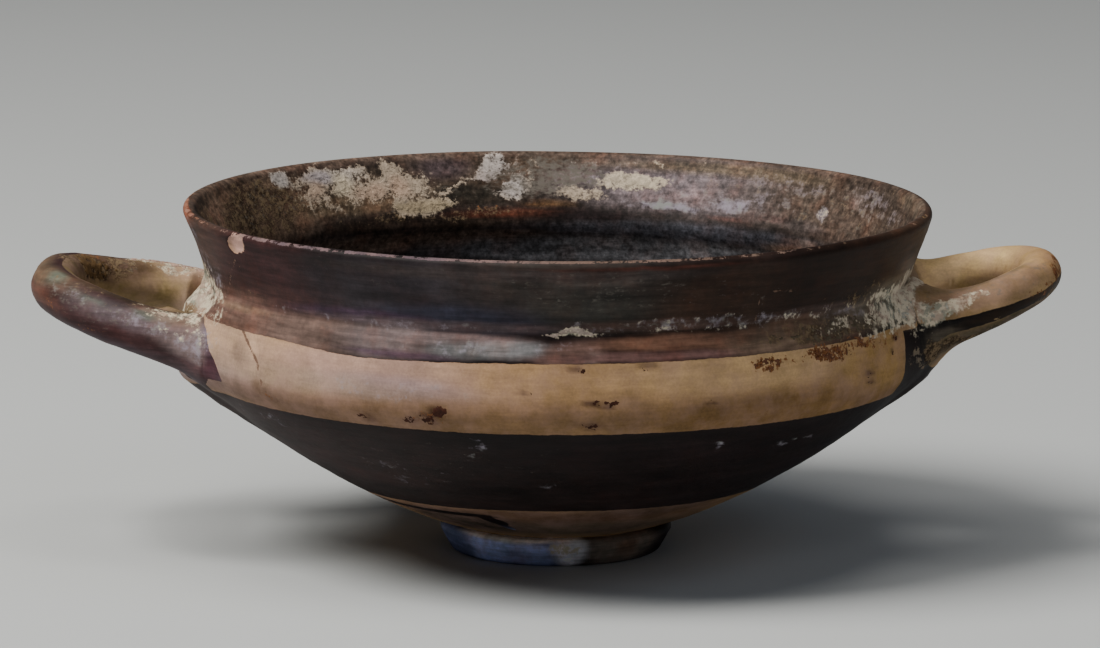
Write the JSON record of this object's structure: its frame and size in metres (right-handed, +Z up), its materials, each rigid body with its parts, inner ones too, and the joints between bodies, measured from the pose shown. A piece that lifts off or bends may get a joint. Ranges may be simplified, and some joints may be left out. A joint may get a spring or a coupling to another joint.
{
  "type": "skyphos",
  "caption": "Wheel-thrown two-handled drinking cup with an offset flaring lip, a low ring foot and banded dark slip, worn and crusted from burial.",
  "frame": {"origin": "on the surface the cup stands on, midway between the outer ends of the two handles and between the rim's front and back", "axes": "+X from the left handle to the right handle, +Y from the front to the back, +Z up along the cup's turning axis, which stands 2.05 mm to the +X side of the origin"},
  "size_m": [0.2064, 0.15, 0.0698],
  "materials": {
    "slip_painted_clay": "fired buff clay with bands of thin dark slip, worn, dull sheen",
    "lime_crust": "rough chalky lime deposit from burial"
  },
  "bodies": {
    "root": {"skyphos": "slip_painted_clay"}
  },
  "joints": []
}
